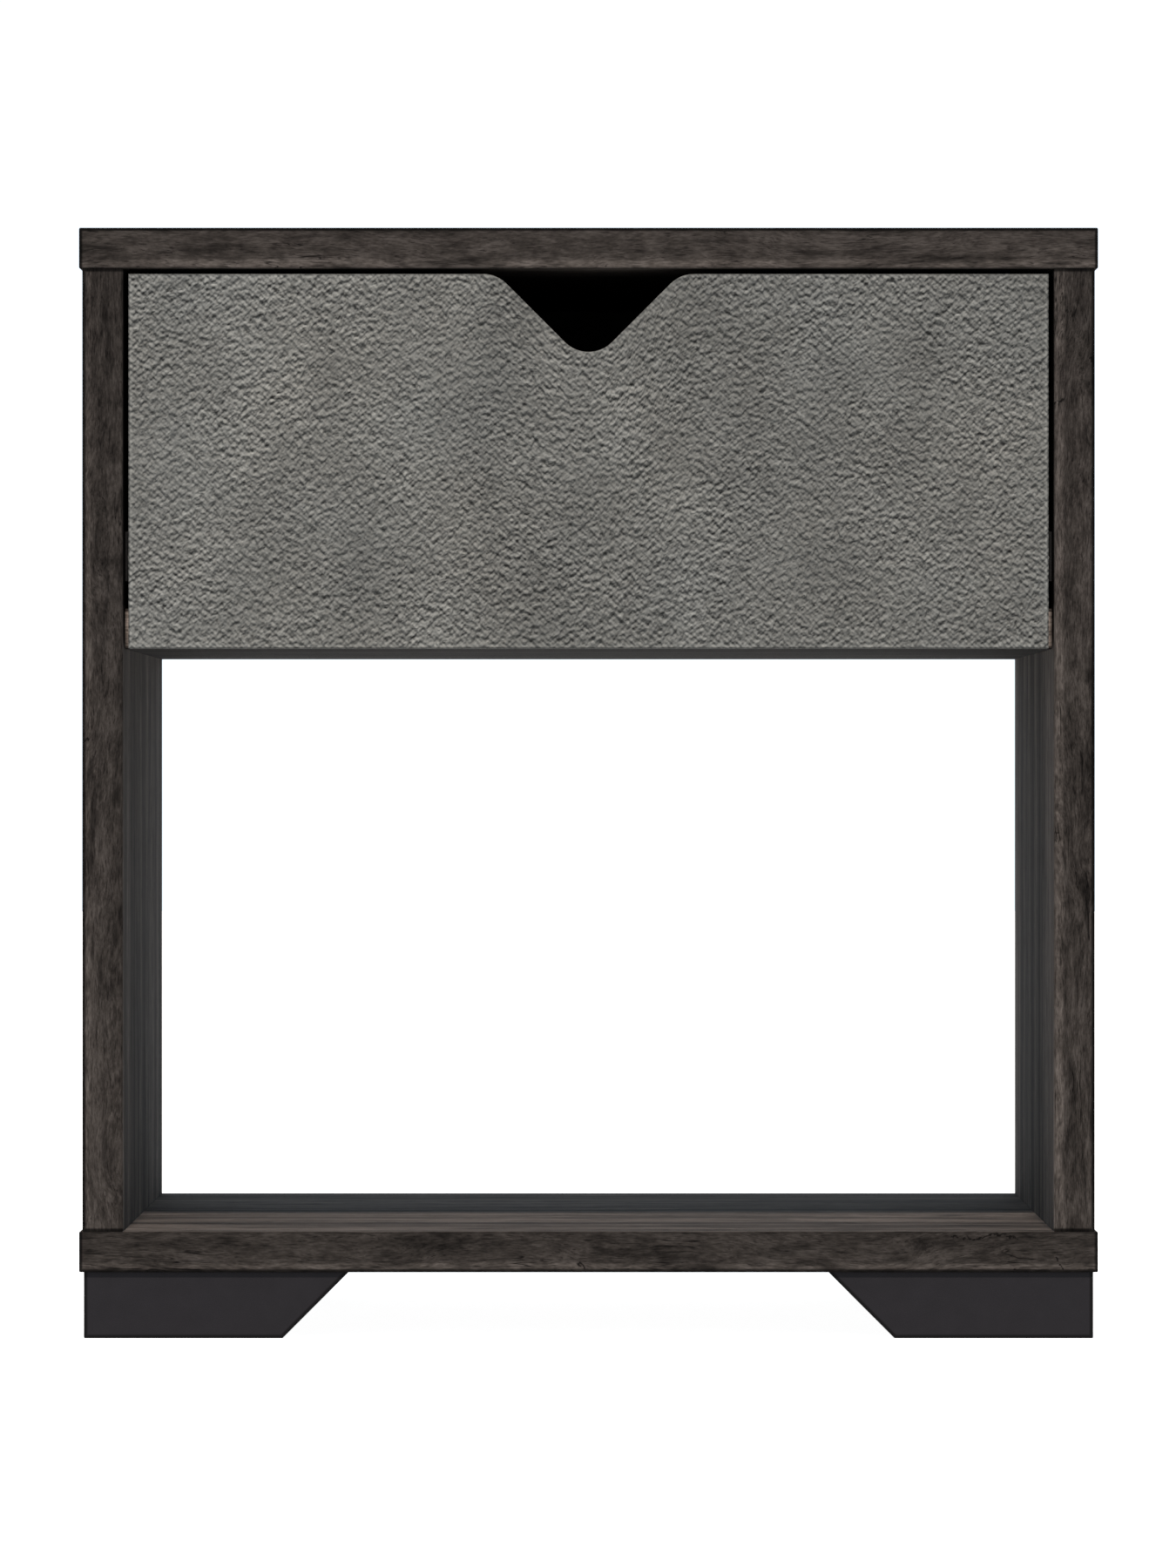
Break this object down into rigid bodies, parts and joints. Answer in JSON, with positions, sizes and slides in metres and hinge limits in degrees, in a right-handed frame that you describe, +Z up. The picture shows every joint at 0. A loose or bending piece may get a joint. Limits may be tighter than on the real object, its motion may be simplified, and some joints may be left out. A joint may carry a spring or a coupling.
{
  "type": "side table with drawer",
  "caption": "Low rectangular side table: a drawer with a rounded V-notch pull over a compartment open front and back, on short corner feet with slanted ends.",
  "frame": {"origin": "on the floor, under the middle of the table", "axes": "+Z up, +X to the right seen from the front, +Y towards the back; the drawer opens along -Y"},
  "size_m": [0.4, 0.35, 0.436],
  "materials": {
    "smoked_oak_board": "matt smoked-oak decor foil on chipboard, fine grain",
    "stone_look_front": "matt grey embossed stone-look foil on chipboard",
    "dark_drawer_board": "matt dark foil on thin board",
    "thin_hardboard": "smooth hardboard, dark inside and brown outside",
    "foot_plastic": "matt moulded plastic",
    "painted_rail_steel": "satin black powder coat",
    "roller_plastic": "smooth natural nylon",
    "beech_dowel": "fluted raw beech",
    "zinc_plated_steel": "bright zinc plate"
  },
  "bodies": {
    "carcass": {"back_panel": "thin_hardboard", "back_panel_nails": "zinc_plated_steel", "bottom_dowels": "beech_dowel", "bottom_panel": "smoked_oak_board", "bottom_screws": "zinc_plated_steel", "cabinet_rail_screws": "zinc_plated_steel", "cabinet_roller_axles": "zinc_plated_steel", "drawer_shelf": "smoked_oak_board", "foot_screws": "zinc_plated_steel", "front_left_foot": "foot_plastic", "front_right_foot": "foot_plastic", "left_cabinet_rail": "painted_rail_steel", "left_side_panel": "smoked_oak_board", "rear_left_foot": "foot_plastic", "rear_right_foot": "foot_plastic", "right_cabinet_rail": "painted_rail_steel", "right_side_panel": "smoked_oak_board", "shelf_cam_bolts": "zinc_plated_steel", "shelf_cam_locks": "zinc_plated_steel", "shelf_dowels": "beech_dowel", "top_cam_bolts": "zinc_plated_steel", "top_cam_locks": "zinc_plated_steel", "top_dowels": "beech_dowel", "top_panel": "smoked_oak_board"},
    "drawer": {"drawer_front": "stone_look_front", "left_drawer_side": "dark_drawer_board", "right_drawer_side": "dark_drawer_board", "drawer_back": "dark_drawer_board", "drawer_bottom": "thin_hardboard", "left_drawer_rail": "painted_rail_steel", "right_drawer_rail": "painted_rail_steel", "drawer_rail_screws": "zinc_plated_steel", "drawer_roller_axles": "zinc_plated_steel", "drawer_cam_bolts": "zinc_plated_steel", "drawer_cam_locks": "zinc_plated_steel", "drawer_dowels": "beech_dowel", "drawer_back_screws": "zinc_plated_steel", "drawer_bottom_nails": "zinc_plated_steel"},
    "left_cabinet_roller": {"left_cabinet_roller": "roller_plastic"},
    "right_cabinet_roller": {"right_cabinet_roller": "roller_plastic"},
    "left_drawer_roller": {"left_drawer_roller": "roller_plastic"},
    "right_drawer_roller": {"right_drawer_roller": "roller_plastic"}
  },
  "joints": [
    {"name": "drawer_slide", "type": "slide", "parent": "carcass", "child": "drawer", "axis": [0, -1, 0], "range_m": [0, 0.23]},
    {"name": "left_cabinet_roller_turn", "type": "hinge", "parent": "carcass", "child": "left_cabinet_roller", "pos_m": [-0.17645, -0.148, 0.3059], "axis": [1, 0, 0], "range_deg": [0, 1560]},
    {"name": "right_cabinet_roller_turn", "type": "hinge", "parent": "carcass", "child": "right_cabinet_roller", "pos_m": [0.17645, -0.148, 0.3059], "axis": [1, 0, 0], "range_deg": [0, 1560]},
    {"name": "left_drawer_roller_turn", "type": "hinge", "parent": "drawer", "child": "left_drawer_roller", "pos_m": [-0.17645, 0.1315, 0.3074], "axis": [1, 0, 0], "range_deg": [0, 1560]},
    {"name": "right_drawer_roller_turn", "type": "hinge", "parent": "drawer", "child": "right_drawer_roller", "pos_m": [0.17645, 0.1315, 0.3074], "axis": [1, 0, 0], "range_deg": [0, 1560]}
  ],
  "couplings": [
    {"joint": "left_cabinet_roller_turn", "follows": "drawer_slide", "rad_per_m": 117.65},
    {"joint": "right_cabinet_roller_turn", "follows": "drawer_slide", "rad_per_m": 117.65},
    {"joint": "left_drawer_roller_turn", "follows": "drawer_slide", "rad_per_m": 117.65},
    {"joint": "right_drawer_roller_turn", "follows": "drawer_slide", "rad_per_m": 117.65}
  ]
}
